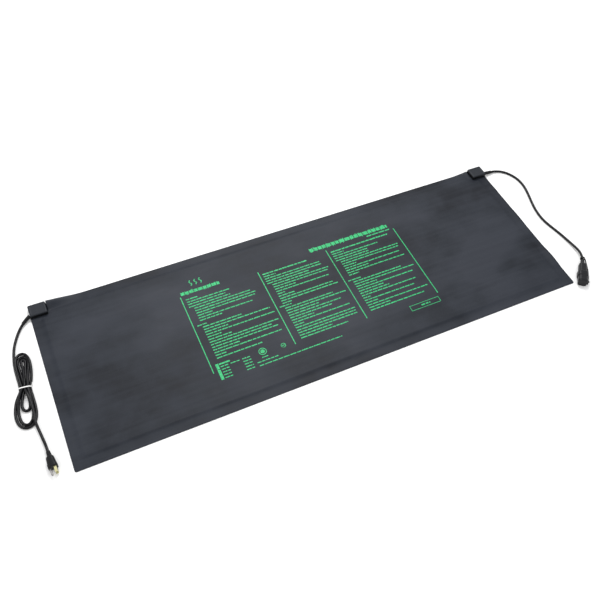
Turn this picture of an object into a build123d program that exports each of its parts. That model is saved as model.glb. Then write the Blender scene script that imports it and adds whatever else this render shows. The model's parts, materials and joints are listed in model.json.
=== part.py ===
from build123d import *
import math
import os

# Seedling heat mat, in millimetres.
#
# A thin laminated heating mat lies flat on a bench. A terminal box stands on each of its two far
# corners. The supply lead leaves the power box, is tied in a hank and ends in a three-pin plug. The
# link lead leaves the other box and ends in a three-hole connector with a tethered hinged cap.
#
# Frame: origin on the bench under the middle of the mat, +X towards the link box, +Y towards the
# edge that carries both boxes, +Z up.

# ---------------------------------------------------------------- driving dimensions
# Used in several places
fine_gap = 0.1
small_edge = 0.5
arc_share = 0.45

# Mat
mat_length = 1524
mat_width = 533
mat_corner = 5
sheet = 0.8
fleece_thickness = 0.5
felt_thickness = 1.5
foil_thickness = 0.1
margin = 32
step_run = 3
step_wall_shift = 0.25
core_inset = 4

# Heating wire and the conductors that feed the link box
heater_dia = 1.4
heater_groove = 1.8
heater_runs = 20
heater_pitch = 21.5
heater_first_y = -218
heater_turn_x = 700
turn_share = 0.45
heater_feed_x = 723.5
heater_return_x = 726.5
bus_dia = 1.5
bus_pitch = 3.4
bus_first_y = 220.5
bus_turn_x = 720.5
bus_turn_step = 2.4
riser_radius = 3
riser_first_y = 238
riser_pitch = 3.5

# Terminal boxes, each laid out from its own centre, with the first number measured outwards
box_length = 50
box_width = 41
box_top = 16.5
box_floor = 4.6
box_wall = 2
box_corner = 3
box_bevel = 2.5
ear_margin = 3
ear_extra = 6
gasket_thickness = 0.6
seat_recess = 0.1
seat_reach = 6
plate_leg_size = (26, 30)
plate_leg_place = (5, -1)
plate_foot_size = (13, 5.5)
plate_foot_place = (-14.5, 11.25)
base_thickness = 1.5
base_outer_gap = 5.5
lid_clearance = 0.15
lead_level = 9.2
screw_spots = [(-5, -12.5), (14, -12.5), (-17, 11), (14, 11)]
screw_shank = 1.5
screw_head = 2.75
screw_head_height = 2
screw_clearance = 0.05
slot_size = (13.5, 18)
slot_offset = (-15.75, -1)
block_size = (11, 26, 8)
block_offset = (4.5, -4.5)
block_screw_count = 5
block_screw_pitch = 5
block_screw_radius = 1.4
block_screw_height = 3
block_screw_sink = 0.4
block_edge = 0.6
cutout_size = (5.5, 13.5, 5)
cutout_shift = 0.25
cutout_edge = 0.8
core_dia = 2.2
core_pitch = 2.6

# Strain relief boots
boot_inset = 7.5
boot_flange = (10, 9.8, 3)
boot_neck = 4.3
boot_root = 5.8
boot_middle = 5.4
boot_tip = 4.9
power_boot_bend = (-775, 224.8, 7.9)
link_boot_bend = (776, 233.4, 8.2)

# Cord
cord_dia = 7.6

# Hank: its own u axis runs up through the tie, v is across, and each disc is (v, u, radius)
hank_centre = (-822, 10)
hank_tilt = 7.2
hank_height = 16
hank_waist = 34
hank_waist_length = 12
hank_upper = (-1.5, 88.5, 25.5)
hank_lower = (-4, -88, 31)
hank_hole_low = (-5, -84, 13)
hank_hole_high = (-3, -44, 4)
hank_edge = 5
tie_width = 3.5
tie_thickness = 1.2
tie_corner = 4
tie_tail_length = 14
tie_tail_radius = 1.2
tie_tail_lean = 25

# Plug
plug_rear = (-808, -191, 12)
plug_yaw = -87
plug_neck = 13
plug_neck_radii = (5, 6.5)
plug_shoulder = 22
plug_shoulder_shape = (20, 20, 6)
plug_grip_end = 38
plug_grip_shape = (22.5, 23, 7)
plug_face_shape = (24, 24, 7)
plug_length = 47
blade_pitch = 12.7
blade_offset = -4.9
pin_offset = 7
plug_roll = -1
blade_width = 6.35
blade_thickness = 1.5
blade_length = 16.5
blade_root = 8
blade_chamfer = 0.5
pin_radius = 2.4
pin_root_radius = 3
pin_length = 20
pin_tip = 1.6

# Connector and its cap
connector_rear = (830, -213, 13.7)
connector_yaw = 232.3
neck_length = 13
neck_radii = (5.5, 7.5)
shoulder_end = 20
shoulder_shape = (23, 21, 7)
grip_shape = (25.5, 23, 7)
flange_shape = (31, 27, 8)
tip_shape = (27, 24, 7)
nose_size = (24, 20)
nose_corner = 5
flange_start = 48
flange_end = 66
tip_end = 85
nose_end = 88
cap_thickness = 3
cap_chamfer = 0.8
lug_size = (2.4, 3)
lug_offset = 2
strap_bends = [(10, 11.5), (26, 14.3), (43, 17), (70, 17.2)]
strap_bend = 12
cap_clearance = 0.35
cap_rim_gap = 0.4
socket_radius = 2.6
contact_wall = 0.6
contact_depth = 24
mouth_depth = 4
slot_width = 7.2
slot_height = 2.2
ring_station = -9
ring_bore = 5
ring_radius = 7.2
ring_thickness = 5
strap_thickness = 1.5
strap_height = 5
hinge_side = 16.1
hinge_bead = 1.3
hinge_running = 0.08
hinge_wall = 1
eye_height = 3.2
eye_gap = 0.3

# ---------------------------------------------------------------- derived sizes
half_length = mat_length / 2
half_width = mat_width / 2
pocket = fleece_thickness + felt_thickness + foil_thickness
pocket_floor = sheet
pocket_roof = sheet + pocket
mat_top = pocket_roof + sheet
felt_floor = pocket_floor + fleece_thickness
felt_roof = felt_floor + felt_thickness
wire_level = felt_floor + felt_thickness / 2
base_floor = mat_top + gasket_thickness
base_roof = base_floor + base_thickness
box_x = half_length - box_length / 2
box_y = half_width - box_width / 2
boot_y = box_y - box_width / 2 + boot_inset
block_x = box_x + block_offset[0]
block_inner_x = block_x - block_size[0] / 2
block_outer_x = block_x + block_size[0] / 2
bench_to_cord = cord_dia / 2
hinge_station = tip_end + cap_rim_gap
ENDS = {"power": -1, "link": 1}

os.makedirs("parts", exist_ok=True)


def keep(piece, label):
    """Names a finished piece and writes it as its own STEP file."""
    piece.part.label = label
    export_step(piece.part, f"parts/{label}.step")
    return piece.part


def on_box(side, offset):
    """A place on a terminal box, from an offset out and up from its centre."""
    return (side * (box_x + offset[0]), box_y + offset[1])


def inward_plane(side, distance):
    """A plane across the lead's axis that faces inwards, with its own y up."""
    return Plane(origin=(side * distance, boot_y, lead_level), x_dir=(0, -side, 0), z_dir=(-side, 0, 0))


# ---------------------------------------------------------------- mat laminate
def raised_outline(level, inset):
    """The heated zone's outline, with an ear under each terminal box, drawn inset from its foot."""
    zone_x = half_length - margin - inset
    zone_y = half_width - margin - inset
    ear_x = half_length - ear_margin - inset
    ear_y = half_width - ear_margin - inset
    neck_x = half_length - box_length - ear_extra + inset
    neck_y = half_width - box_width - ear_extra + inset
    right = [(zone_x, -zone_y), (zone_x, neck_y), (ear_x, neck_y)]
    right += [(ear_x, ear_y), (neck_x, ear_y), (neck_x, zone_y)]
    left = [(-x, y) for x, y in reversed(right)]
    with BuildSketch(Plane.XY.offset(level)) as outline:
        with BuildLine():
            Polyline(*right, *left, close=True)
        make_face()
    return outline.sketch


with BuildPart() as bottom_sheet:
    with BuildSketch():
        RectangleRounded(mat_length, mat_width, mat_corner)
    extrude(amount=sheet)
keep(bottom_sheet, "bottom_sheet")

with BuildPart() as top_sheet:
    with BuildSketch(Plane.XY.offset(sheet)):
        RectangleRounded(mat_length, mat_width, mat_corner)
    extrude(amount=sheet)
    loft(sections=[raised_outline(2 * sheet, 0), raised_outline(mat_top, step_run)], ruled=True)
    loft(
        sections=[
            raised_outline(pocket_floor, step_wall_shift),
            raised_outline(pocket_roof, step_run + step_wall_shift),
        ],
        ruled=True,
        mode=Mode.SUBTRACT,
    )
    for side in ENDS.values():
        with BuildSketch(Plane.XY.offset(mat_top)):
            with Locations(on_box(side, (0, 0))):
                Rectangle(box_length + seat_reach, box_width + seat_reach)
        extrude(amount=-seat_recess, mode=Mode.SUBTRACT)
        with BuildSketch(Plane.XY.offset(pocket_roof)):
            with Locations(on_box(side, slot_offset)):
                Rectangle(*slot_size)
            with Locations(*[on_box(side, spot) for spot in screw_spots]):
                Circle(screw_shank + screw_clearance)
        extrude(amount=sheet, mode=Mode.SUBTRACT)
keep(top_sheet, "top_sheet")


def core_outline():
    """The outline of the layers inside the pocket, notched clear of the clamp plates."""
    length = mat_length - 2 * (margin + core_inset)
    width = mat_width - 2 * (margin + core_inset)
    notch_length = box_length + 2
    notch_width = box_width + 2
    with BuildSketch() as outline:
        Rectangle(length, width)
        with Locations((-half_length, half_width), (half_length, half_width)):
            Rectangle(2 * notch_length, 2 * notch_width, mode=Mode.SUBTRACT)
    return outline.sketch


with BuildPart() as insulation_fleece:
    with BuildSketch(Plane.XY.offset(pocket_floor)):
        add(core_outline())
    extrude(amount=fleece_thickness)
keep(insulation_fleece, "insulation_fleece")

with BuildPart() as earth_foil:
    with BuildSketch(Plane.XY.offset(felt_roof)):
        add(core_outline())
    extrude(amount=foil_thickness)
keep(earth_foil, "earth_foil")


# ---------------------------------------------------------------- heating wire, carrier, conductors
def round_wire(points, radii, diameter):
    """A round wire along straight runs joined by tangent arcs."""
    with BuildLine() as path:
        FilletPolyline(*points, radius=radii)
    with BuildPart() as wire:
        with BuildSketch(Plane(path.line @ 0, z_dir=path.line % 0)):
            Circle(diameter / 2)
        sweep(path=path.line)
    return wire


def heater_points():
    """The heating wire's corners in plan, from its feed at the power box to its return there."""
    corners = [(-heater_feed_x, riser_first_y + riser_pitch)]
    corners.append((-heater_feed_x, heater_first_y + (heater_runs - 1) * heater_pitch))
    for run in reversed(range(1, heater_runs)):
        turn_x = heater_turn_x if run % 2 else -heater_turn_x
        y = heater_first_y + run * heater_pitch
        corners.append((turn_x, y))
        corners.append((turn_x, y - heater_pitch))
    corners.append((-heater_return_x, heater_first_y))
    corners.append((-heater_return_x, riser_first_y))
    return corners


turn_radius = turn_share * heater_pitch
plan = heater_points()
flat_points = [(x, y, wire_level) for x, y in plan]
feed_end = [(-block_inner_x, plan[0][1], lead_level), (-heater_feed_x, plan[0][1], lead_level)]
return_end = [(-heater_return_x, plan[-1][1], lead_level), (-block_inner_x, plan[-1][1], lead_level)]
heater_radii = [riser_radius] * 2 + [turn_radius] * (len(plan) - 2) + [riser_radius] * 2
heating_wire = round_wire([*feed_end, *flat_points, *return_end], heater_radii, heater_dia)
keep(heating_wire, "heating_wire")

with BuildLine(Plane.XY.offset(felt_floor)) as groove_path:
    FilletPolyline(*plan, radius=turn_radius)

felt_far_y = bus_first_y - 3
felt_corner = (half_length - heater_feed_x + heater_groove / 2, felt_far_y - plan[1][1])
with BuildPart() as carrier_felt:
    with BuildSketch(Plane.XY.offset(felt_floor)):
        add(core_outline())
        with Locations((0, felt_far_y + margin)):
            Rectangle(mat_length, 2 * margin, mode=Mode.SUBTRACT)
        with Locations((-half_length, felt_far_y)):
            Rectangle(2 * felt_corner[0], 2 * felt_corner[1], mode=Mode.SUBTRACT)
    extrude(amount=felt_thickness)
    with BuildSketch(Plane.XY.offset(felt_floor)):
        trace(groove_path.line.edges(), line_width=heater_groove)
    extrude(amount=felt_thickness, mode=Mode.SUBTRACT)
keep(carrier_felt, "carrier_felt")

for index, name in enumerate(["live_conductor", "neutral_conductor", "earth_conductor"]):
    run_y = bus_first_y + index * bus_pitch
    turn_x = bus_turn_x - index * bus_turn_step
    riser_y = riser_first_y + (index + 2) * riser_pitch
    half_route = [
        (block_inner_x, riser_y, lead_level),
        (turn_x, riser_y, lead_level),
        (turn_x, riser_y, wire_level),
        (turn_x, run_y, wire_level),
    ]
    mirrored = [(-x, y, z) for x, y, z in half_route]
    conductor = round_wire([*mirrored, *reversed(half_route)], riser_radius, bus_dia)
    keep(conductor, name)


# ---------------------------------------------------------------- terminal boxes
def clamp_plate(side):
    """The L-shaped metal plate inside the laminate that the base is screwed to."""
    with BuildPart() as plate:
        with BuildSketch(Plane.XY.offset(pocket_floor)):
            with Locations(on_box(side, plate_leg_place)):
                Rectangle(*plate_leg_size)
            with Locations(on_box(side, plate_foot_place)):
                Rectangle(*plate_foot_size)
            with Locations(*[on_box(side, spot) for spot in screw_spots]):
                Circle(screw_shank + screw_clearance, mode=Mode.SUBTRACT)
        extrude(amount=pocket)
    return plate


def box_plate(side, level, thickness):
    """A plate under the cover, such as the base or its gasket, with the wire slot and screw holes."""
    inner_edge = -box_length / 2 + box_wall + lid_clearance
    outer_edge = box_length / 2 - base_outer_gap
    width = box_width - 2 * (box_wall + lid_clearance)
    with BuildPart() as plate:
        with BuildSketch(Plane.XY.offset(level)):
            with Locations(on_box(side, ((inner_edge + outer_edge) / 2, 0))):
                RectangleRounded(outer_edge - inner_edge, width, 1)
            with Locations(on_box(side, slot_offset)):
                Rectangle(*slot_size, mode=Mode.SUBTRACT)
            with Locations(*[on_box(side, spot) for spot in screw_spots]):
                Circle(screw_shank + screw_clearance, mode=Mode.SUBTRACT)
        extrude(amount=thickness)
    return plate


def box_screws(side):
    """The four screws whose heads stand inside the box."""
    foot = pocket_floor + fine_gap
    with BuildPart() as screws:
        with BuildSketch(Plane.XY.offset(foot)):
            with Locations(*[on_box(side, spot) for spot in screw_spots]):
                Circle(screw_shank)
        extrude(amount=base_roof - foot)
        with BuildSketch(Plane.XY.offset(base_roof)):
            with Locations(*[on_box(side, spot) for spot in screw_spots]):
                Circle(screw_head)
        extrude(amount=screw_head_height)
        chamfer(screws.faces().sort_by(Axis.Z)[-len(screw_spots):].edges(), small_edge)
    return screws


def box_cover(side):
    """The bevelled cover, open below, with a notch in its outer end for the boot."""
    with BuildPart() as cover:
        with BuildSketch(Plane.XY.offset(box_floor)):
            with Locations(on_box(side, (0, 0))):
                RectangleRounded(box_length, box_width, box_corner)
        extrude(amount=box_top - box_floor)
        chamfer(cover.faces().sort_by(Axis.Z)[-1].edges(), box_bevel)
        with BuildSketch(Plane.XY.offset(box_floor)):
            with Locations(on_box(side, (0, 0))):
                RectangleRounded(box_length - 2 * box_wall, box_width - 2 * box_wall, small_edge)
        extrude(amount=box_top - box_wall - box_floor, mode=Mode.SUBTRACT)
        with BuildSketch(inward_plane(side, half_length + 1)):
            Circle(boot_neck + fine_gap)
            with Locations((0, -boot_neck)):
                Rectangle(2 * (boot_neck + fine_gap), 2 * boot_neck)
        extrude(amount=box_wall + 2, mode=Mode.SUBTRACT)
    return cover


def block_screw_places(side):
    """Where the terminal screws stand along the block."""
    middle = (block_screw_count - 1) / 2
    steps = [(index - middle) * block_screw_pitch for index in range(block_screw_count)]
    return [on_box(side, (block_offset[0], block_offset[1] + step)) for step in steps]


def terminal_block(side):
    """The insulating block that the cord's cores and the mat's wires meet in."""
    with BuildPart() as block:
        with BuildSketch(Plane.XY.offset(base_roof)):
            with Locations(on_box(side, block_offset)):
                Rectangle(block_size[0], block_size[1])
        extrude(amount=block_size[2])
        chamfer(block.edges().filter_by(Axis.Z), block_edge)
        with BuildSketch(Plane.XY.offset(base_roof + block_size[2])):
            with Locations(*block_screw_places(side)):
                Circle(block_screw_radius + screw_clearance)
        extrude(amount=-block_screw_height, mode=Mode.SUBTRACT)
    return block


def terminal_screws(side):
    """The brass screws sunk in the block, each with a driver slot."""
    top = base_roof + block_size[2] - block_screw_sink
    with BuildPart() as screws:
        with BuildSketch(Plane.XY.offset(base_roof + block_size[2] - block_screw_height)):
            with Locations(*block_screw_places(side)):
                Circle(block_screw_radius)
        extrude(amount=block_screw_height - block_screw_sink)
        with BuildSketch(Plane.XY.offset(top)):
            with Locations(*block_screw_places(side)):
                Rectangle(2 * (block_screw_radius + fine_gap), small_edge)
        extrude(amount=-block_edge, mode=Mode.SUBTRACT)
    return screws


def cord_cores(side):
    """The three insulated cores, from the boot's inner end to the terminal block."""
    boot_inner_x = half_length - box_wall - boot_flange[2]
    rows = [(core_pitch * step, 0) for step in (-1, 0, 1)]
    with BuildPart() as cores:
        with BuildSketch(inward_plane(side, boot_inner_x)):
            with Locations(*rows):
                Circle(core_dia / 2)
        extrude(amount=boot_inner_x - block_outer_x)
    return cores


def boot(side, middle, tip, tip_direction):
    """A strain relief boot: a flange inside the wall, a neck through it and a tapered tail."""
    wall_plane = Plane(origin=(side * half_length, boot_y, lead_level), x_dir=(0, 1, 0), z_dir=(side, 0, 0))
    halfway = (Vector(side, 0, 0) + Vector(*tip_direction)).normalized()
    with BuildPart() as piece:
        with BuildSketch(wall_plane.offset(-box_wall - boot_flange[2])):
            RectangleRounded(boot_flange[0], boot_flange[1], 2)
        extrude(amount=boot_flange[2])
        with BuildSketch(wall_plane.offset(-box_wall)):
            Circle(boot_neck)
        extrude(amount=box_wall)
        with BuildSketch(wall_plane):
            Circle(boot_root)
        with BuildSketch(Plane(origin=middle, x_dir=Vector(0, 0, -1).cross(halfway), z_dir=halfway)):
            Circle(boot_middle)
        with BuildSketch(
            Plane(origin=tip, x_dir=Vector(0, 0, -1).cross(Vector(*tip_direction)), z_dir=tip_direction)
        ):
            Circle(boot_tip)
        loft()
    return piece


for end, side in ENDS.items():
    keep(clamp_plate(side), f"{end}_box_clamp_plate")
    gasket = box_plate(side, mat_top - seat_recess, gasket_thickness + seat_recess)
    keep(gasket, f"{end}_box_gasket")
    keep(box_plate(side, base_floor, base_thickness), f"{end}_box_base")
    keep(box_screws(side), f"{end}_box_screws")
    keep(box_cover(side), f"{end}_box_cover")
    keep(terminal_block(side), f"{end}_terminal_block")
    keep(terminal_screws(side), f"{end}_terminal_screws")
    keep(cord_cores(side), f"{end}_cord_cores")

cutout_centre = (block_offset[0] + (block_size[0] + cutout_size[0]) / 2, cutout_shift)
with BuildPart() as thermal_cutout:
    with BuildSketch(Plane.XY.offset(base_roof)):
        with Locations(on_box(ENDS["power"], cutout_centre)):
            Rectangle(cutout_size[0], cutout_size[1])
    extrude(amount=cutout_size[2])
    fillet(thermal_cutout.edges().filter_by(Axis.Z), cutout_edge)
keep(thermal_cutout, "thermal_cutout")


# ---------------------------------------------------------------- cords
def arc_radii(points, name):
    """The largest arc each corner allows, from its shorter run and the tangent of half its turn."""
    radii = []
    for before, corner, after in zip(points, points[1:], points[2:]):
        run_in = Vector(*corner) - Vector(*before)
        run_out = Vector(*after) - Vector(*corner)
        half_turn = math.radians(run_in.get_angle(run_out)) / 2
        radii.append(arc_share * min(run_in.length, run_out.length) / math.tan(half_turn))
    print(name, "arc radii, mm:", [round(radius) for radius in radii])
    return radii


def cord_tube(points, name):
    """A round cord along its route, with its volume set against its section times its length."""
    with BuildLine() as path:
        FilletPolyline(*points, radius=arc_radii(points, name))
    with BuildPart() as tube:
        with BuildSketch(Plane(path.line @ 0, z_dir=path.line % 0)):
            Circle(cord_dia / 2)
        sweep(path=path.line)
    length = path.wire().length
    expected = math.pi * (cord_dia / 2) ** 2 * length
    print(name, "length", round(length, 1), "volume ratio", round(tube.part.volume / expected, 4))
    return tube


def unit(start, end):
    """The direction from one point to the next."""
    return tuple((Vector(*end) - Vector(*start)).normalized())


def along(rear, yaw, station):
    """A point on a plug's or connector's own axis."""
    turn = math.radians(yaw)
    return (rear[0] + station * math.cos(turn), rear[1] + station * math.sin(turn), rear[2])


def station_plane(rear, yaw, station):
    """A plane square to that axis, with its x to the left of the axis and its y up."""
    turn = math.radians(yaw)
    return Plane(
        origin=along(rear, yaw, station),
        x_dir=(-math.sin(turn), math.cos(turn), 0),
        z_dir=(math.cos(turn), math.sin(turn), 0),
    )


lead_route = [
    (-785, 216, 6.2),
    (-797, 203, 4.4),
    (-812, 177, bench_to_cord),
    (-824.5, 147, bench_to_cord),
    (-830.5, 118.5, bench_to_cord),
]
tail_route = [
    (-818.6, -99, 8),
    (-816.5, -117, 6.4),
    (-813.5, -140, 6),
    (-810.5, -163, 8.5),
    along(plug_rear, plug_yaw, -12.5),
    plug_rear,
]
link_route = [
    (789, 233.5, 6.6),
    (805, 232.6, 4.6),
    (828, 223, bench_to_cord),
    (846, 202, bench_to_cord),
    (858.5, 172, bench_to_cord),
    (859.5, 137, bench_to_cord),
    (851, 101, bench_to_cord),
    (839.5, 65, bench_to_cord),
    (829, 25, bench_to_cord),
    (826, -15, bench_to_cord),
    (833, -52, bench_to_cord),
    (842, -88, bench_to_cord),
    (846.5, -122, 5),
    (848.5, -152, 8.5),
    (847, -179, 12.2),
    along(connector_rear, connector_yaw, -14),
    connector_rear,
]

keep(boot(-1, power_boot_bend, lead_route[0], unit(*lead_route[:2])), "power_cord_boot")
keep(boot(1, link_boot_bend, link_route[0], unit(*link_route[:2])), "link_cord_boot")
keep(cord_tube(lead_route, "power_cord_lead"), "power_cord_lead")
keep(cord_tube(tail_route, "power_cord_tail"), "power_cord_tail")
keep(cord_tube(link_route, "link_cord"), "link_cord")



# ---------------------------------------------------------------- hank and its tie
tilt = math.radians(hank_tilt)
across = (math.cos(tilt), -math.sin(tilt), 0)
hank_plane = Plane(origin=(*hank_centre, 0), x_dir=across, z_dir=(0, 0, 1))
tie_normal = (math.sin(tilt), math.cos(tilt), 0)
tie_origin = tuple(Vector(*hank_centre, hank_height / 2) - Vector(*tie_normal) * (tie_width / 2))
tie_plane = Plane(origin=tie_origin, x_dir=across, z_dir=tuple(-Vector(*tie_normal))).rotated((0, 180, 0))

with BuildPart() as tie_band:
    with BuildSketch(tie_plane):
        RectangleRounded(hank_waist, hank_height, tie_corner)
        RectangleRounded(
            hank_waist - 2 * tie_thickness,
            hank_height - 2 * tie_thickness,
            tie_corner - tie_thickness,
            mode=Mode.SUBTRACT,
        )
    extrude(amount=tie_width)

with BuildPart() as power_cord_hank:
    for v, u, radius in (hank_upper, hank_lower):
        with BuildSketch(hank_plane):
            Rectangle(hank_waist, hank_waist_length)
            with Locations((v, u)):
                Circle(radius)
            make_hull()
        extrude(amount=hank_height)
    with BuildSketch(hank_plane):
        for v, u, radius in (hank_hole_low, hank_hole_high):
            with Locations((v, u)):
                Circle(radius)
        make_hull()
    extrude(amount=hank_height, mode=Mode.SUBTRACT)
    chamfer(power_cord_hank.faces().sort_by(Axis.Z)[-1].outer_wire().edges(), hank_edge)
    with BuildSketch(tie_plane):
        Rectangle(2 * hank_waist, 2 * hank_height)
        RectangleRounded(
            hank_waist - 2 * tie_thickness,
            hank_height - 2 * tie_thickness,
            tie_corner - tie_thickness,
            mode=Mode.SUBTRACT,
        )
    extrude(amount=tie_width, mode=Mode.SUBTRACT)
keep(power_cord_hank, "power_cord_hank")

tail_side = Vector(*across) * (hank_waist / 2)
tail_foot = tuple(Vector(*tie_origin) + Vector(*tie_normal) * (tie_width / 2) + tail_side)
tail_lean = math.radians(tie_tail_lean)
tail_rise = tuple(Vector(*across) * math.sin(tail_lean) + Vector(0, 0, math.cos(tail_lean)))
with BuildPart() as cord_tie:
    add(tie_band.part)
    with BuildSketch(Plane(origin=tuple(Vector(*tail_foot) + Vector(0, 0, tie_corner)), z_dir=tail_rise)):
        Circle(tie_tail_radius)
    extrude(amount=tie_tail_length)
keep(cord_tie, "cord_tie")


# ---------------------------------------------------------------- plug
def plug_station(station):
    """A plane square to the plug's axis."""
    return station_plane(plug_rear, plug_yaw, station)


plug_blades = plug_roll * blade_offset
plug_pin = plug_roll * pin_offset
with BuildPart() as plug_body:
    with BuildSketch(plug_station(0)):
        Circle(plug_neck_radii[0])
    with BuildSketch(plug_station(plug_neck)):
        Circle(plug_neck_radii[1])
    loft()
    with BuildSketch(plug_station(plug_neck)):
        Circle(plug_neck_radii[1])
    with BuildSketch(plug_station(plug_shoulder)):
        RectangleRounded(*plug_shoulder_shape)
    loft()
    with BuildSketch(plug_station(plug_shoulder)):
        RectangleRounded(*plug_shoulder_shape)
    with BuildSketch(plug_station(plug_grip_end)):
        RectangleRounded(*plug_grip_shape)
    loft()
    with BuildSketch(plug_station(plug_grip_end)):
        RectangleRounded(*plug_face_shape)
    extrude(amount=plug_length - plug_grip_end)
    with BuildSketch(plug_station(plug_length)):
        with Locations((plug_blades, blade_pitch / 2), (plug_blades, -blade_pitch / 2)):
            Rectangle(blade_width, blade_thickness)
        with Locations((plug_pin, 0)):
            Circle(pin_root_radius)
    extrude(amount=-blade_root, mode=Mode.SUBTRACT)
keep(plug_body, "plug_body")

for name, height in {"plug_line_blade": blade_pitch / 2, "plug_neutral_blade": -blade_pitch / 2}.items():
    with BuildPart() as blade:
        with BuildSketch(plug_station(plug_length - blade_root)):
            with Locations((plug_blades, height)):
                Rectangle(blade_width, blade_thickness)
        extrude(amount=blade_root + blade_length)
        chamfer(blade.faces().sort_by(Axis.Y)[0].edges(), blade_chamfer)
    keep(blade, name)

with BuildPart() as plug_ground_pin:
    with BuildSketch(plug_station(plug_length - blade_root)):
        with Locations((plug_pin, 0)):
            Circle(pin_root_radius)
    extrude(amount=blade_root)
    with BuildSketch(plug_station(plug_length)):
        with Locations((plug_pin, 0)):
            Circle(pin_radius)
    extrude(amount=pin_length)
    fillet(plug_ground_pin.edges().sort_by(Axis.Y)[0], pin_tip)
keep(plug_ground_pin, "plug_ground_pin")


# ---------------------------------------------------------------- connector
def connector_station(station):
    """A plane square to the connector's axis."""
    return station_plane(connector_rear, connector_yaw, station)


slot_places = [(blade_offset, blade_pitch / 2), (blade_offset, -blade_pitch / 2)]
with BuildPart() as connector_body:
    with BuildSketch(connector_station(0)):
        Circle(neck_radii[0])
    with BuildSketch(connector_station(neck_length)):
        Circle(neck_radii[1])
    loft()
    with BuildSketch(connector_station(neck_length)):
        Circle(neck_radii[1])
    with BuildSketch(connector_station(shoulder_end)):
        RectangleRounded(*shoulder_shape)
    loft()
    with BuildSketch(connector_station(shoulder_end)):
        RectangleRounded(*shoulder_shape)
    with BuildSketch(connector_station(flange_start)):
        RectangleRounded(*grip_shape)
    loft()
    with BuildSketch(connector_station(flange_start)):
        RectangleRounded(*flange_shape)
    extrude(amount=flange_end - flange_start)
    with BuildSketch(connector_station(flange_end)):
        RectangleRounded(*tip_shape)
    extrude(amount=tip_end - flange_end)
    with BuildSketch(connector_station(tip_end)):
        RectangleRounded(*nose_size, nose_corner)
    extrude(amount=nose_end - tip_end)
    with BuildSketch(connector_station(nose_end)):
        with Locations(*slot_places):
            Rectangle(slot_width, slot_height)
        with Locations((pin_offset, 0)):
            Circle(socket_radius)
    extrude(amount=-contact_depth, mode=Mode.SUBTRACT)
    with BuildSketch(connector_station(nose_end - mouth_depth)):
        with Locations(*slot_places):
            Rectangle(slot_width + 2 * contact_wall, slot_height + 2 * contact_wall)
        with Locations((pin_offset, 0)):
            Circle(socket_radius + contact_wall)
    extrude(amount=mouth_depth - contact_depth, mode=Mode.SUBTRACT)
keep(connector_body, "connector_body")

with BuildPart() as connector_blade_contacts:
    with BuildSketch(connector_station(nose_end - mouth_depth)):
        with Locations(*slot_places):
            Rectangle(slot_width + 2 * contact_wall, slot_height + 2 * contact_wall)
            Rectangle(slot_width, slot_height, mode=Mode.SUBTRACT)
    extrude(amount=mouth_depth - contact_depth)
keep(connector_blade_contacts, "connector_blade_contacts")

with BuildPart() as connector_ground_contact:
    with BuildSketch(connector_station(nose_end - mouth_depth)):
        with Locations((pin_offset, 0)):
            Circle(socket_radius + contact_wall)
            Circle(socket_radius, mode=Mode.SUBTRACT)
    extrude(amount=mouth_depth - contact_depth)
keep(connector_ground_contact, "connector_ground_contact")


# ---------------------------------------------------------------- connector cap and its tether
def connector_level(height):
    """A level plane at a height over the connector's axis, with x along it and y to its left."""
    turn = math.radians(connector_yaw)
    x, y, z = connector_rear
    return Plane(origin=(x, y, z + height), x_dir=(math.cos(turn), math.sin(turn), 0), z_dir=(0, 0, 1))


strap_route = [(ring_station, ring_radius + 2 * fine_gap), *strap_bends, (hinge_station, hinge_side)]
bead_height = strap_height + 2 * (eye_gap + eye_height)
with BuildPart() as cap_tether:
    with BuildSketch(connector_station(ring_station - ring_thickness / 2)):
        Circle(ring_radius)
        Circle(ring_bore, mode=Mode.SUBTRACT)
    extrude(amount=ring_thickness)
    with BuildSketch(connector_level(-strap_height / 2)):
        with BuildLine() as strap_line:
            FilletPolyline(*strap_route, radius=strap_bend)
        trace(strap_line.line.edges(), line_width=strap_thickness)
    extrude(amount=strap_height)
    with BuildSketch(connector_level(-bead_height / 2)):
        with Locations((hinge_station, hinge_side)):
            Circle(hinge_bead)
    extrude(amount=bead_height)
keep(cap_tether, "cap_tether")

cap_inner = nose_end + cap_clearance
eye_radius = hinge_bead + hinge_running + hinge_wall
with BuildPart() as connector_cap:
    with BuildSketch(connector_station(hinge_station)):
        RectangleRounded(*tip_shape)
    extrude(amount=cap_inner + cap_thickness - hinge_station)
    chamfer(connector_cap.faces().sort_by(Axis.Y)[0].edges(), cap_chamfer)
    with BuildSketch(connector_station(hinge_station)):
        RectangleRounded(*[size + 2 * cap_clearance for size in nose_size], nose_corner + cap_clearance)
    extrude(amount=cap_inner - hinge_station, mode=Mode.SUBTRACT)
    for foot in (-bead_height / 2, strap_height / 2 + eye_gap):
        with BuildSketch(connector_level(foot)):
            with Locations((hinge_station, hinge_side)):
                Circle(eye_radius)
            with Locations((hinge_station + lug_size[0] / 2, hinge_side - lug_offset)):
                Rectangle(*lug_size)
        extrude(amount=eye_height)
    with BuildSketch(connector_level(-bead_height / 2)):
        with Locations((hinge_station, hinge_side)):
            Circle(hinge_bead + hinge_running)
    extrude(amount=bead_height, mode=Mode.SUBTRACT)
keep(connector_cap, "connector_cap")
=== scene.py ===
import json
import math

import bmesh
import bpy
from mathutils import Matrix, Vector, noise

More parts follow.
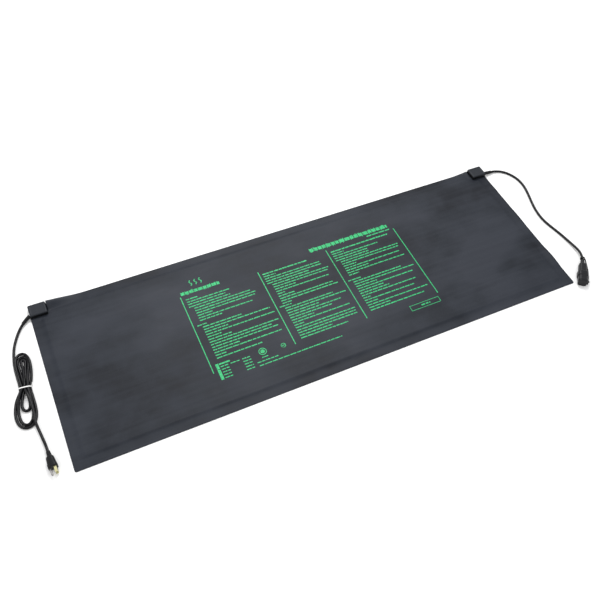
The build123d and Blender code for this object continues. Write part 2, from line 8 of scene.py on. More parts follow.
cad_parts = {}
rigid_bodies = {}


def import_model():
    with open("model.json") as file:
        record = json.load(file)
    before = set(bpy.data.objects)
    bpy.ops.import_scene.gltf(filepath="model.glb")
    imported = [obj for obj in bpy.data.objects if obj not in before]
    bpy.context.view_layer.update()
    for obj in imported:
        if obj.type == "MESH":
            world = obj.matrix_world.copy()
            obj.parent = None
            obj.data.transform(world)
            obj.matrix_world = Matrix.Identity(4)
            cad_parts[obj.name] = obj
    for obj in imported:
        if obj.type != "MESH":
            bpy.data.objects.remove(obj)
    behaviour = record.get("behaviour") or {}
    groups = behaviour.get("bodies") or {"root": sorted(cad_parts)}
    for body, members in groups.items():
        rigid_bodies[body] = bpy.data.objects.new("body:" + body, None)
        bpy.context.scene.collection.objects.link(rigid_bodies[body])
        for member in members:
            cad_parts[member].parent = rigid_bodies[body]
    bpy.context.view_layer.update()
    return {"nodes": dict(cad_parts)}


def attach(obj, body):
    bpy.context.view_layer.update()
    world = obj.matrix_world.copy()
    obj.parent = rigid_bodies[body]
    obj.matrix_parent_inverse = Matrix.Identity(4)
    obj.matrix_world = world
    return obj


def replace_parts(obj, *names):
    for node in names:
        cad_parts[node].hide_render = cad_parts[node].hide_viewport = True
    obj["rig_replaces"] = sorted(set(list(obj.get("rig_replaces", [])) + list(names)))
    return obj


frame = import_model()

# Sizes in metres, in the row frame.
CORD = 0.0076
MAT_X, MAT_Y = 0.762, 0.2665
MARGIN_Z, RAISED_Z = 0.0016, 0.0037
ZONE_X, ZONE_Y = 0.730, 0.2345
EAR_X0, EAR_X1, EAR_Y0, EAR_Y1 = 0.706, 0.759, 0.2195, 0.2635
BOX_X, BOX_Y, BOX_L, BOX_W = 0.737, 0.246, 0.050, 0.041
BOX_WALL = 0.0020
SHEET = 0.0008
BENCH_GAP = 0.00002
GRID = 0.0050
GRID_GAP = 0.0004

# The heater's runs: the first one's place, the pitch, and how far each shows through the skin.
RUN_Y, RUN_PITCH, RUN_RIDGE = -0.218, 0.0215, 0.00009

# The step from the margin up to the heated zone: how far outside it starts, and its run.
STEP_OUT, STEP_RUN = 0.0110, 0.0145
UNDER_OUT, UNDER_RUN, UNDER_TOP = 0.0100, 0.0140, 0.0029

# The margin's curl beside a terminal box: where it starts, its ramp, and each end's reach and height.
CURL_START, CURL_RAMP = 0.0004, 0.0012
CURL_Y, CURL_RUN = 0.2355, 0.030
POWER_CURL, LINK_CURL = (0.110, 0.0115), (0.060, 0.0040)

# The wavy margin at the link end: where it starts, its run, and its height.
WAVE_X, WAVE_RUN, WAVE_HEIGHT = 0.7315, 0.032, 0.0042
WAVE_Y = 0.19

# The outer border that lifts a little off the bench.
BORDER, BORDER_LIFT = 0.03, 0.0011


# ---------------------------------------------------------------- camera
def make_camera():
    cam = bpy.data.cameras.new("camera")
    cam.lens, cam.sensor_width = 42.78, 36
    cam.clip_start, cam.clip_end = 0.05, 30
    cam.dof.use_dof = False
    obj = bpy.data.objects.new("camera", cam)
    obj.location = (-0.6154, -1.0903, 1.6824)
    obj.rotation_euler = (0.6310, -0.0446, -0.4292)
    bpy.context.scene.collection.objects.link(obj)
    bpy.context.scene.camera = obj


make_camera()


# ---------------------------------------------------------------- helpers
def link(name, data, mat, body="root"):
    obj = bpy.data.objects.new(name, data)
    bpy.context.scene.collection.objects.link(obj)
    if mat:
        data.materials.clear()
        data.materials.append(mat)
    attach(obj, body)
    return obj


def mesh_from(name, bm, mat, body="root", smooth=True):
    bmesh.ops.recalc_face_normals(bm, faces=bm.faces)
    me = bpy.data.meshes.new(name)
    bm.to_mesh(me)
    bm.free()
    for p in me.polygons:
        p.use_smooth = smooth
    return link(name, me, mat, body)


def nurbs_curve(name, points, resolution):
    """A NURBS curve with these control points."""
    cu = bpy.data.curves.new(name, "CURVE")
    cu.dimensions = "3D"
    sp = cu.splines.new("NURBS")
    sp.points.add(len(points) - 1)
    for p, co in zip(sp.points, points):
        p.co = (*co, 1)
    sp.order_u = 3
    sp.use_endpoint_u = True
    sp.resolution_u = resolution
    return cu


def nurbs_cord(name, points, mat, dia):
    cu = nurbs_curve(name, points, 8)
    cu.bevel_depth = dia / 2
    cu.bevel_resolution = 6
    cu.use_fill_caps = True
    return link(name, cu, mat)


def lerp(a, b, t):
    return a + (b - a) * t


def smooth(t):
    t = min(1.0, max(0.0, t))
    return t * t * (3 - 2 * t)


# ---------------------------------------------------------------- materials
class Nodes:
    """A procedural material in the making."""

    def __init__(self, name, color, rough, metal=0.0, spec=0.5):
        self.m = bpy.data.materials.new(name)
        self.m.use_nodes = True
        self.t = self.m.node_tree
        self.b = self.t.nodes["Principled BSDF"]
        self.b.inputs["Base Color"].default_value = (*color, 1)
        self.b.inputs["Roughness"].default_value = rough
        self.b.inputs["Metallic"].default_value = metal
        self.b.inputs["Specular IOR Level"].default_value = spec
        self.co = self.t.nodes.new("ShaderNodeTexCoord").outputs["Object"]
        self.height = None

    def mapped(self, scale):
        n = self.t.nodes.new("ShaderNodeMapping")
        n.inputs["Scale"].default_value = scale
        self.t.links.new(self.co, n.inputs["Vector"])
        return n.outputs["Vector"]

    def noise(self, scale, detail=4, stretch=(1, 1, 1)):
        n = self.t.nodes.new("ShaderNodeTexNoise")
        n.inputs["Scale"].default_value = scale
        n.inputs["Detail"].default_value = detail
        self.t.links.new(self.mapped(stretch), n.inputs["Vector"])
        return n.outputs["Fac"]

    def voronoi(self, scale, stretch=(1, 1, 1)):
        n = self.t.nodes.new("ShaderNodeTexVoronoi")
        n.inputs["Scale"].default_value = scale
        self.t.links.new(self.mapped(stretch), n.inputs["Vector"])
        return n.outputs["Distance"]

    def wave(self, scale, direction="X", distort=0.0, stretch=(1, 1, 1)):
        n = self.t.nodes.new("ShaderNodeTexWave")
        n.bands_direction = direction
        n.inputs["Scale"].default_value = scale
        n.inputs["Distortion"].default_value = distort
        self.t.links.new(self.mapped(stretch), n.inputs["Vector"])
        return n.outputs["Fac"]

    def ramp(self, fac, stops):
        n = self.t.nodes.new("ShaderNodeValToRGB")
        el = n.color_ramp.elements
        while len(el) < len(stops):
            el.new(0.5)
        for e, (pos, col) in zip(el, stops):
            e.position, e.color = pos, (*col, 1)
        self.t.links.new(fac, n.inputs["Fac"])
        return n.outputs["Color"]

    def mix(self, fac, a, b):
        n = self.t.nodes.new("ShaderNodeMix")
        n.data_type, n.blend_type = "RGBA", "MIX"
        for value, key in ((fac, 0), (a, 6), (b, 7)):
            if isinstance(value, bpy.types.NodeSocket):
                self.t.links.new(value, n.inputs[key])
            elif key == 0:
                n.inputs[key].default_value = value
            else:
                n.inputs[key].default_value = (*value, 1)
        return n.outputs[2]

    def math(self, op, a, b):
        n = self.t.nodes.new("ShaderNodeMath")
        n.operation = op
        for value, key in ((a, 0), (b, 1)):
            if isinstance(value, bpy.types.NodeSocket):
                self.t.links.new(value, n.inputs[key])
            else:
                n.inputs[key].default_value = value
        return n.outputs[0]

    def color(self, socket):
        self.t.links.new(socket, self.b.inputs["Base Color"])

    def rough(self, fac, low, high):
        n = self.t.nodes.new("ShaderNodeMapRange")
        n.inputs["To Min"].default_value = low
        n.inputs["To Max"].default_value = high
        self.t.links.new(fac, n.inputs["Value"])
        self.t.links.new(n.outputs["Result"], self.b.inputs["Roughness"])

    def bump(self, fac, strength, distance):
        n = self.t.nodes.new("ShaderNodeBump")
        n.inputs["Strength"].default_value = strength
        n.inputs["Distance"].default_value = distance
        self.t.links.new(fac, n.inputs["Height"])
        if self.height:
            self.t.links.new(self.height, n.inputs["Normal"])
        self.height = n.outputs["Normal"]
        self.t.links.new(self.height, self.b.inputs["Normal"])


def shade(c, k):
    return tuple(min(1.0, x * k) for x in c)


def plastic(name, color, rough, grain=900, depth=0.00006, wear=1.5, spec=0.5):
    """Moulded plastic: spark-eroded grain, faint flow marks, paler rubbed patches."""
    n = Nodes(name, color, rough, spec=spec)
    flow = n.noise(18, 5)
    rub = n.noise(70, 6)
    base = n.ramp(flow, [(0.3, shade(color, 0.8)), (0.55, color), (0.75, shade(color, 1.2))])
    spots = n.ramp(rub, [(0.55, (0, 0, 0)), (0.75, (1, 1, 1))])
    n.color(n.mix(n.math("MULTIPLY", spots, 0.35), base, shade(color, wear)))
    n.rough(rub, rough - 0.07, rough + 0.09)
    n.bump(n.noise(grain, 3), 0.5, depth)
    n.bump(n.voronoi(grain * 0.6), 0.25, depth)
    return n.m


def metal(name, color, rough, direction=(1, 1, 30)):
    """Rolled or turned metal: fine draw marks, dull spots and a slight tarnish."""
    n = Nodes(name, color, rough, metal=1.0)
    lines = n.noise(120, 4, direction)
    spots = n.noise(60, 5)
    base = n.ramp(spots, [(0.35, shade(color, 0.72)), (0.6, color)])
    n.color(n.mix(n.math("MULTIPLY", lines, 0.3), base, shade(color, 0.6)))
    n.rough(lines, rough - 0.08, rough + 0.14)
    n.bump(lines, 0.25, 0.00004)
    return n.m


def fibre(name, color, scale, squeeze):
    """Needled or woven sheet: crossing threads, tufts and uneven dye."""
    n = Nodes(name, color, 0.92, spec=0.2)
    warp = n.wave(scale, "X", 1.5)
    weft = n.wave(scale, "Y", 1.5)
    tuft = n.noise(scale * 1.2, 6, squeeze)
    both = n.math("MAXIMUM", warp, weft)
    base = n.ramp(tuft, [(0.3, shade(color, 0.7)), (0.6, color), (0.8, shade(color, 1.12))])
    n.color(n.mix(n.math("MULTIPLY", both, 0.35), base, shade(color, 0.78)))
    n.bump(both, 0.5, 0.0002)
    n.bump(tuft, 0.5, 0.0002)
    n.b.inputs["Sheen Weight"].default_value = 0.25
    n.b.inputs["Sheen Roughness"].default_value = 0.6
    return n.m


def jacket(name, color, rough, spec=0.5, coat=0.12):
    """Flexible wire insulation: faint stretch rings, dust and a waxy bloom."""
    n = Nodes(name, color, rough, spec=spec)
    bloom = n.noise(45, 5)
    dust = n.noise(900, 2)
    base = n.ramp(bloom, [(0.35, shade(color, 0.85)), (0.7, shade(color, 1.35))])
    specks = n.ramp(dust, [(0.66, (0, 0, 0)), (0.8, (1, 1, 1))])
    n.color(n.mix(n.math("MULTIPLY", specks, 0.2), base, shade(color, 2.5)))
    n.rough(bloom, rough - 0.06, rough + 0.1)
    n.bump(n.noise(260, 3), 0.12, 0.0002)
    n.bump(dust, 0.12, 0.00005)
    n.b.inputs["Coat Weight"].default_value = coat
    n.b.inputs["Coat Roughness"].default_value = 0.2
    return n.m


def skin(name):
    """The mat's coated black sheet: embossed grain, painted sheen in soft light and dark patches where the
    roughness also varies, faint lengthwise streaks.
    """
    # Painted sheen: dark, mid and pale are the tones of soft light and dark sheen patches painted into the
    # colour.
    dark, mid, pale = (0.0030, 0.0044, 0.0085), (0.0080, 0.0106, 0.0165), (0.0200, 0.0230, 0.0320)
    n = Nodes(name, mid, 0.5, spec=0.20)
    painted_sheen_cloud = n.noise(3.6, 6, (0.7, 1.3, 1))
    patch = n.noise(13, 7)
    streak = n.noise(26, 5, (0.07, 2.6, 1))
    grain = n.noise(620, 3)
    # Painted sheen: the broad cloud and the paler blotches paint the lamp's soft sheen into the colour.
    base = n.ramp(painted_sheen_cloud, [(0.40, dark), (0.5, mid), (0.62, pale)])
    painted_sheen_blots = n.ramp(patch, [(0.40, (0, 0, 0)), (0.66, (1, 1, 1))])
    tone = n.mix(n.math("MULTIPLY", painted_sheen_blots, 0.55), base, (0.0200, 0.0235, 0.0325))
    lines = n.ramp(streak, [(0.42, (0, 0, 0)), (0.62, (1, 1, 1))])
    tone = n.mix(n.math("MULTIPLY", lines, 0.16), tone, (0.031, 0.036, 0.046))
    specks = n.ramp(grain, [(0.52, (0, 0, 0)), (0.72, (1, 1, 1))])
    n.color(n.mix(n.math("MULTIPLY", specks, 0.16), tone, (0.046, 0.052, 0.064)))
    n.rough(n.math("ADD", n.math("MULTIPLY", patch, 0.6), n.math("MULTIPLY", streak, 0.4)), 0.40, 0.66)
    n.bump(n.noise(9, 4, (0.4, 1.6, 1)), 0.35, 0.0022)
    n.bump(streak, 0.22, 0.0010)
    n.bump(grain, 0.4, 0.00012)
    return n.m


def box_plastic_painted_shade(name):
    """The terminal boxes' plastic: the mat's tone on top, with painted shade that darkens the walls towards
    the bottom.
    """
    # Painted shade: low is the near-black colour painted at the foot of the walls, and top is the mat's tone
    # at the top edge.
    low, top = (0.0008, 0.0009, 0.0012), (0.0125, 0.0150, 0.0205)
    n = Nodes(name, top, 0.5, spec=0.22)
    split = n.t.nodes.new("ShaderNodeSeparateXYZ")
    n.t.links.new(n.co, split.inputs[0])
    # Painted shade: the colour darkens from the top down to the base, with a ragged edge.
    level = n.math("MULTIPLY", split.outputs["Z"], 60.0)
    painted_shade_mask = n.math("ADD", level, n.math("MULTIPLY", n.noise(90, 4), 0.12))
    base = n.ramp(painted_shade_mask, [(0.55, low), (0.90, shade(top, 0.55)), (1.0, top)])
    rub = n.noise(70, 6)
    spots = n.ramp(rub, [(0.52, (0, 0, 0)), (0.75, (1, 1, 1))])
    n.color(n.mix(n.math("MULTIPLY", spots, 0.3), base, shade(top, 1.7)))
    n.rough(rub, 0.42, 0.58)
    n.bump(n.noise(1300, 3), 0.5, 0.00007)
    n.bump(n.voronoi(780), 0.25, 0.00007)
    return n.m


M = {
    "mat_skin": skin("mat_skin"),
    "fleece": fibre("fleece", (0.75, 0.74, 0.70), 420, (1, 1, 1)),
    "felt": fibre("felt", (0.62, 0.60, 0.56), 300, (0.4, 2.0, 1)),
    "foil": metal("foil", (0.86, 0.86, 0.87), 0.3, (0.1, 6, 1)),
    "heater_sleeve": jacket("heater_sleeve", (0.50, 0.07, 0.05), 0.42),
    "wire_black": jacket("wire_black", (0.02, 0.02, 0.022), 0.4),
    "wire_white": jacket("wire_white", (0.80, 0.80, 0.77), 0.4),
    "wire_green": jacket("wire_green", (0.05, 0.34, 0.10), 0.4),
    "box_plastic": box_plastic_painted_shade("box_plastic"),
    "gasket_foam": plastic("gasket_foam", (0.028, 0.028, 0.030), 0.85, 2200, 0.0002, 1.6),
    "plate_steel": metal("plate_steel", (0.62, 0.62, 0.64), 0.35),
    "block_plastic": plastic("block_plastic", (0.72, 0.70, 0.64), 0.45, 1200),
    "terminal_brass": metal("terminal_brass", (0.80, 0.60, 0.26), 0.32),
    "core_sleeve": jacket("core_sleeve", (0.10, 0.10, 0.11), 0.42),
    "cutout_case": plastic("cutout_case", (0.55, 0.50, 0.40), 0.5, 1200),
    "cord_jacket": jacket("cord_jacket", (0.0020, 0.0021, 0.0032), 0.30, 0.18, 0.04),
    "boot_rubber": plastic("boot_rubber", (0.0030, 0.0032, 0.0042), 0.42, 1100, 0.00006, 1.8, 0.2),
    "tie_plastic": plastic("tie_plastic", (0.80, 0.80, 0.79), 0.42, 900, 0.00008, 1.05),
    "plug_plastic": plastic("plug_plastic", (0.0028, 0.0029, 0.0040), 0.38, 1200, 0.00006, 1.8, 0.2),
    "connector_plastic": plastic("connector_plastic", (0.0040, 0.0043, 0.0060), 0.38, 1200, 0.00006,
                                 1.8, 0.3),
    "cap_rubber": plastic("cap_rubber", (0.0034, 0.0036, 0.0048), 0.44, 1300, 0.00007, 1.8, 0.25),
    "blade_metal": metal("blade_metal", (0.78, 0.74, 0.42), 0.26, (1, 12, 1)),
    "pin_metal": metal("pin_metal", (0.27, 0.26, 0.26), 0.42, (1, 12, 1)),
}


# ---------------------------------------------------------------- cords
LEAN = math.radians(7.2)
HANK = (-0.822, 0.010)


def hank_point(v, u, z):
    """A point of the hank: v across it, u along it, in millimetres."""
    v, u = v / 1000, u / 1000
    x = HANK[0] + v * math.cos(LEAN) + u * math.sin(LEAN)
    y = HANK[1] - v * math.sin(LEAN) + u * math.cos(LEAN)
    return (x, y, z / 1000)


def lobe(v_in, v_out, reach, bulge_in, bulge_out, shift, levels, steps=12):
    """Half a turn of the hank, from the waist round its end and back to the waist.

    A bulge is its size and how late it comes. Levels are heights at the waist, at a quarter, at the
    end, at three quarters and at the waist again.
    """
    out = []
    for k in range(1, steps):
        f = k / steps
        s, c = math.sin(math.pi * f), math.cos(math.pi * f)
        start = v_in if c >= 0 else v_out
        size, late = bulge_in if c >= 0 else bulge_out
        peak = (late / (1 + late)) ** (late / 2) * (1 / (1 + late)) ** 0.5
        way = 1 if (v_in > v_out) == (c >= 0) else -1
        v = start * abs(c) + way * size * s ** late * abs(c) / peak + shift * s * s
        at = min(3, int(f * 4))
        z = lerp(levels[at], levels[at + 1], smooth(f * 4 - at))
        out.append(hank_point(v, reach * s, z))
    return out


# Heights of the cord's middle in the hank, in millimetres: on the bench, and on the turns below.
LOW, HIGH = 3.9, 10.9


def power_route():
    route = [
        (-0.7660, 0.2315, 0.0090),
        (-0.7850, 0.2160, 0.0062),
        (-0.7970, 0.2030, 0.0044),
        (-0.8120, 0.1770, 0.0038),
        (-0.8245, 0.1470, 0.0038),
        (-0.8305, 0.1185, 0.0038),
    ]
    route += [hank_point(-22.5, 88, LOW), hank_point(-20.5, 60, LOW), hank_point(-15, 26, LOW)]
    route += [hank_point(-12.4, 4, LOW), hank_point(-12.4, -4, LOW)]
    route += lobe(-12.4, 12.4, -115.5, (20, 0.7), (15, 1.4), -4, (LOW, LOW, LOW, LOW, LOW))
    route += [hank_point(12.4, -4, LOW), hank_point(12.4, 4, LOW)]
    route += lobe(12.4, -8.3, 112, (11, 0.9), (12, 1.3), -1.5, (LOW, 8.3, 5.5, 10.4, HIGH))
    route += [hank_point(-8.3, 4, HIGH), hank_point(-8.3, -4, HIGH)]
    route += lobe(-8.3, 8.3, -107, (14.5, 0.7), (10.3, 1.4), -3.5, (HIGH, LOW, LOW, LOW, HIGH))
    route += [hank_point(8.3, -4, HIGH), hank_point(8.3, 4, HIGH)]
    route += lobe(8.3, -4.2, 102, (9, 2.5), (11.6, 2.5), 0, (HIGH, LOW, LOW, LOW, LOW))
    route += [hank_point(-4.2, 4, LOW), hank_point(-4.2, -4, LOW)]
    route += lobe(-4.2, 4.2, -66, (8.5, 1.2), (7, 2.2), -2, (LOW, 4.4, LOW, LOW, LOW))
    route += [hank_point(4.2, -4, LOW), hank_point(4.2, 4, LOW)]
    route += lobe(4.2, 0, 93, (5, 6), (5, 6), 0, (LOW, 4.2, 4.2, 4.2, HIGH))
    route += [hank_point(0, 4, HIGH), hank_point(0, -4, HIGH)]
    route += [hank_point(2.0, -12, 13.4), hank_point(5.6, -23, 14.4), hank_point(10.2, -38, 13.0)]
    route += [hank_point(14.0, -60, 11.8), hank_point(16.2, -82, 11.4)]
    route += [
        (-0.8186, -0.0990, 0.0110),
        (-0.8165, -0.1170, 0.0075),
        (-0.8135, -0.1400, 0.0064),
        (-0.8105, -0.1630, 0.0085),
        (-0.80865, -0.17852, 0.0120),
        (-0.8080, -0.1930, 0.0120),
    ]
    return route


def link_route():
    return [
        (0.7660, 0.2330, 0.0088),
        (0.7890, 0.2335, 0.0066),
        (0.8050, 0.2326, 0.0046),
        (0.8280, 0.2230, 0.0038),
        (0.8460, 0.2020, 0.0038),
        (0.8585, 0.1720, 0.0038),
        (0.8595, 0.1370, 0.0038),
        (0.8510, 0.1010, 0.0038),
        (0.8395, 0.0650, 0.0038),
        (0.8290, 0.0250, 0.0038),
        (0.8260, -0.0150, 0.0038),
        (0.8330, -0.0520, 0.0038),
        (0.8420, -0.0880, 0.0038),
        (0.8465, -0.1220, 0.0050),
        (0.8485, -0.1520, 0.0085),
        (0.8470, -0.1790, 0.0122),
        (0.83856, -0.20192, 0.0137),
        (0.8290, -0.2143, 0.0137),
    ]


power_cord = nurbs_cord("power_cord", power_route(), M["cord_jacket"], CORD)
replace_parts(power_cord, "power_cord_lead", "power_cord_hank", "power_cord_tail")
link_cord = nurbs_cord("link_lead", link_route(), M["cord_jacket"], CORD)
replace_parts(link_cord, "link_cord")


# ---------------------------------------------------------------- mat skins
def inside_rect(x, y, x0, x1, y0, y1):
    """Signed distance to a rectangle, positive inside."""
    dx, dy = min(x - x0, x1 - x), min(y - y0, y1 - y)
    if dx > 0 and dy > 0:
        return min(dx, dy)
    return -math.hypot(min(dx, 0), min(dy, 0))


def raised(x, y):
    """How far a point is inside the heated zone or under a terminal box."""
    d = inside_rect(x, y, -ZONE_X, ZONE_X, -ZONE_Y, ZONE_Y)
    return max(d, inside_rect(abs(x), y, EAR_X0, EAR_X1, EAR_Y0, EAR_Y1))


def wrinkle(x, y):
    """Gentle lie of a thin mat on a bench, in metres, calm under the boxes."""
    near = min(math.hypot(abs(x) - BOX_X, y - BOX_Y), 0.12) / 0.12
    calm = smooth((near - 0.25) / 0.6)
    broad = noise.noise(Vector((x * 3.2, y * 4.1, 1.7)))
    ripple = noise.noise(Vector((x * 9.0, y * 15.0, 5.3)))
    fine = noise.noise(Vector((x * 24.0, y * 42.0, 9.1)))
    puffs = smooth((-0.35 - x) / 0.35) * 0.5 + smooth((x - 0.45) / 0.3) * 0.35
    lift = 0.00050 * broad + 0.00028 * ripple * (0.5 + puffs) + 0.00012 * fine * (0.4 + puffs)
    return lift * calm


def runs(y):
    """The faint ridges over the heater's runs."""
    t = (y - RUN_Y) / RUN_PITCH
    return RUN_RIDGE * math.cos(2 * math.pi * t)


def edge_lift(x, y):
    """How far the whole mat stands off the bench.

    The far margin curls up beside each terminal box, more by the power box, and the margin at the
    link end is a little wavy.
    """
    lift = 0.0
    beside = BOX_X - BOX_L / 2 - abs(x)
    if beside > CURL_START:
        reach, height = POWER_CURL if x < 0 else LINK_CURL
        rise = smooth((beside - CURL_START) / CURL_RAMP) * (1 - smooth(beside / reach))
        lift += height * rise * smooth((y - CURL_Y) / CURL_RUN)
    if x > WAVE_X and y < WAVE_Y:
        wave = math.sin(y * 38 + 0.9) * 0.6 + noise.noise(Vector((y * 11, 3.7, 0.4))) * 1.1
        calm = smooth((WAVE_Y - y) / 0.05) * smooth((y + 0.262) / 0.03)
        lift += WAVE_HEIGHT * max(0.0, wave) * smooth((x - WAVE_X) / WAVE_RUN) * calm
    return lift


def skin_height(x, y):
    """The height of the mat's upper face."""
    d = raised(x, y)
    step = smooth((d + STEP_OUT) / STEP_RUN)
    z = lerp(MARGIN_Z, RAISED_Z, step)
    z += (wrinkle(x, y) + runs(y) * smooth(d / 0.01)) * step
    edge = min(MAT_X - abs(x), MAT_Y - abs(y))
    if edge < BORDER:
        curl = noise.noise(Vector((x * 6.5 + 3.1, y * 8.3, 2.2))) * 0.5 + 0.30
        away = smooth((math.hypot(abs(x) - BOX_X, y - BOX_Y) - 0.05) / 0.08)
        z += max(0.0, curl) * BORDER_LIFT * smooth((BORDER - edge) / BORDER) * away
    return z + edge_lift(x, y)


def spread(low, high, step, extra):
    """Grid lines between two limits, with more of them where there is detail."""
    n = int(round((high - low) / step))
    at = [low + (high - low) * k / n for k in range(n + 1)]
    at += [e for e in extra if low < e < high]
    at = sorted(at)
    keep = [at[0]]
    for a in at[1:]:
        if a - keep[-1] > GRID_GAP:
            keep.append(a)
    keep[-1] = high
    return keep


def mat_edge(x, y):
    """Rounds the sheet's four corners by pulling the grid in."""
    r = 0.005
    ax, ay = abs(x), abs(y)
    if ax > MAT_X - r and ay > MAT_Y - r:
        dx, dy = ax - (MAT_X - r), ay - (MAT_Y - r)
        reach = max(dx, dy)
        size = math.hypot(dx, dy)
        if size > 0:
            dx, dy = dx * reach / size, dy * reach / size
        x = math.copysign(MAT_X - r + dx, x)
        y = math.copysign(MAT_Y - r + dy, y)
    return x, y


def skin_sheet(name, top_at, under_at, step, extra_x, extra_y):
    """A closed thin sheet between two height fields."""
    xs = spread(-MAT_X, MAT_X, step, extra_x)
    ys = spread(-MAT_Y, MAT_Y, step, extra_y)
    bm = bmesh.new()
    layers = []
    for field in (top_at, under_at):
        rows = []
        for x in xs:
            row = []
            for y in ys:
                px, py = mat_edge(x, y)
                row.append(bm.verts.new((px, py, field(px, py))))
            rows.append(row)
        layers.append(rows)
    a, b = layers
    nx, ny = len(xs), len(ys)
    for i in range(nx - 1):
        for j in range(ny - 1):
            bm.faces.new((a[i][j], a[i + 1][j], a[i + 1][j + 1], a[i][j + 1]))
            bm.faces.new((b[i][j], b[i][j + 1], b[i + 1][j + 1], b[i + 1][j]))
    for i in range(nx - 1):
        bm.faces.new((a[i][0], b[i][0], b[i + 1][0], a[i + 1][0]))
        bm.faces.new((a[i + 1][-1], b[i + 1][-1], b[i][-1], a[i][-1]))
    for j in range(ny - 1):
        bm.faces.new((a[0][j + 1], b[0][j + 1], b[0][j], a[0][j]))
        bm.faces.new((a[-1][j], b[-1][j], b[-1][j + 1], a[-1][j + 1]))
    return mesh_from(name, bm, M["mat_skin"])


def around(values, reach, count):
    """Grid lines close together on both sides of each value."""
    return [v + reach * k / count for v in values for k in range(-count, count + 1)]


def top_under(x, y):
    """The underside of the top sheet: it lies on the layers inside."""
    d = raised(x, y)
    return lerp(SHEET, UNDER_TOP, smooth((d + UNDER_OUT) / UNDER_RUN)) + edge_lift(x, y)


EXTRA_X = around([-ZONE_X, ZONE_X, -EAR_X0, EAR_X0, -EAR_X1, EAR_X1], 0.006, 5)
EXTRA_X += around([-MAT_X, MAT_X], 0.006, 6)
EXTRA_X += [side * (BOX_X - BOX_L / 2 - step) for side in (-1, 1) for step in (CURL_START, 0.0010, 0.0017)]
EXTRA_Y = around([-ZONE_Y, ZONE_Y, EAR_Y0, EAR_Y1, -MAT_Y, MAT_Y], 0.006, 5)
top_skin = skin_sheet("top_skin", skin_height, top_under, GRID, EXTRA_X, EXTRA_Y)
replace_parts(top_skin, "top_sheet")
under_skin = skin_sheet("under_skin", lambda x, y: SHEET + edge_lift(x, y),
                        lambda x, y: BENCH_GAP + edge_lift(x, y), GRID, EXTRA_X, EXTRA_Y)
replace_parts(under_skin, "bottom_sheet")


# ---------------------------------------------------------------- printed panel, generic bars only
def ink(name):
    green = (0.020, 0.40, 0.135)
    n = Nodes(name, green, 0.5, spec=0.25)
    cover = n.noise(240, 3)
    n.color(n.ramp(cover, [(0.34, (0.018, 0.25, 0.095)), (0.5, green), (0.7, (0.040, 0.52, 0.19))]))
    n.rough(n.noise(90, 3), 0.40, 0.58)
    n.bump(cover, 0.2, 0.00005)
    return n.m


M["print_green"] = ink("print_green")


# How far the ink stands above the skin and reaches below it, in metres.
PRINT_TOP, PRINT_SINK = 0.00010, 0.00005

# In millimetres: a plate's longest run, and the height of a column's headings and of its other rows.
PLATE_RUN = 12
HEADING_HEIGHT, ROW_HEIGHT = 5.6, 4.4


class Panel:
    """Printed marks, laid out in millimetres: thin plates that follow the skin."""

    def __init__(self):
        self.bm = bmesh.new()
        self.seed = 1

    def chance(self):
        """The next number, from 0 to 1, of a sequence that is the same in every run."""
        self.seed = (self.seed * 1103515245 + 12345) % 2147483648
        return self.seed / 2147483648

    def plate(self, corners):
        """One thin plate between these corners."""
        places = [(x / 1000, y / 1000) for x, y in corners]
        top = [self.bm.verts.new((x, y, skin_height(x, y) + PRINT_TOP)) for x, y in places]
        low = [self.bm.verts.new((x, y, skin_height(x, y) - PRINT_SINK)) for x, y in places]
        n = len(corners)
        self.bm.faces.new(top)
        self.bm.faces.new(low[::-1])
        for i in range(n):
            self.bm.faces.new((top[i], low[i], low[(i + 1) % n], top[(i + 1) % n]))

    def rect(self, x0, x1, y0, y1):
        """One printed rectangle, cut in short lengths to follow the skin."""
        along_x = abs(x1 - x0) >= abs(y1 - y0)
        size = abs(x1 - x0) if along_x else abs(y1 - y0)
        cuts = max(1, int(size / PLATE_RUN))
        for k in range(cuts):
            a, b = k / cuts, (k + 1) / cuts
            if along_x:
                p0, p1 = lerp(x0, x1, a), lerp(x0, x1, b)
                self.plate([(p0, y0), (p1, y0), (p1, y1), (p0, y1)])
            else:
                q0, q1 = lerp(y0, y1, a), lerp(y0, y1, b)
                self.plate([(x0, q0), (x1, q0), (x1, q1), (x0, q1)])

    def row(self, x, y, length, height, word=(9, 21), gap=2.1):
        """A row of dashes that stands for a line of small print and reads as nothing."""
        end = x + length
        while x < end - 1.5:
            w = lerp(word[0], word[1], self.chance())
            stop = min(end, x + w)
            if end - stop < 4:
                stop = end
            self.word(x, stop, y, height)
            x = stop + gap

    def word(self, x0, x1, y, height):
        """A dash with an uneven top and bottom, like print seen from too far to read."""
        n = max(1, int((x1 - x0) / 2.9))
        step = (x1 - x0) / n
        core = height * 0.36
        self.rect(x0, x1, y - core, y + core)
        for k in range(n):
            if self.chance() < 0.55:
                h = height * lerp(0.10, 0.22, self.chance())
                a = x0 + k * step + 0.35
                up = self.chance() < 0.62
                if up:
                    self.rect(a, a + step * 0.55, y + core, y + core + h)
                else:
                    self.rect(a, a + step * 0.55, y - core - h, y - core)

    def ring(self, x, y, r, width, steps=40):
        for k in range(steps):
            a, b = 2 * math.pi * k / steps, 2 * math.pi * (k + 1) / steps
            pts = [(r, a), (r, b), (r - width, b), (r - width, a)]
            self.plate([(x + q * math.cos(t), y + q * math.sin(t)) for q, t in pts])

    def disc(self, x, y, r):
        angles = [math.pi * k / 12 for k in range(24)]
        self.plate([(x + r * math.cos(t), y + r * math.sin(t)) for t in angles])


def column(panel, start, indent, top, pitch, rows):
    """One column of rows.

    Each row gives whether it is indented and its length, then where it starts afresh if it does, and
    a fourth value if it is a heading.
    """
    y = top
    for item in rows:
        level, length = item[0], item[1]
        if len(item) > 2:
            y = item[2]
        height = HEADING_HEIGHT if len(item) > 3 else ROW_HEIGHT
        panel.row(indent if level else start, y, length, height)
        y -= pitch


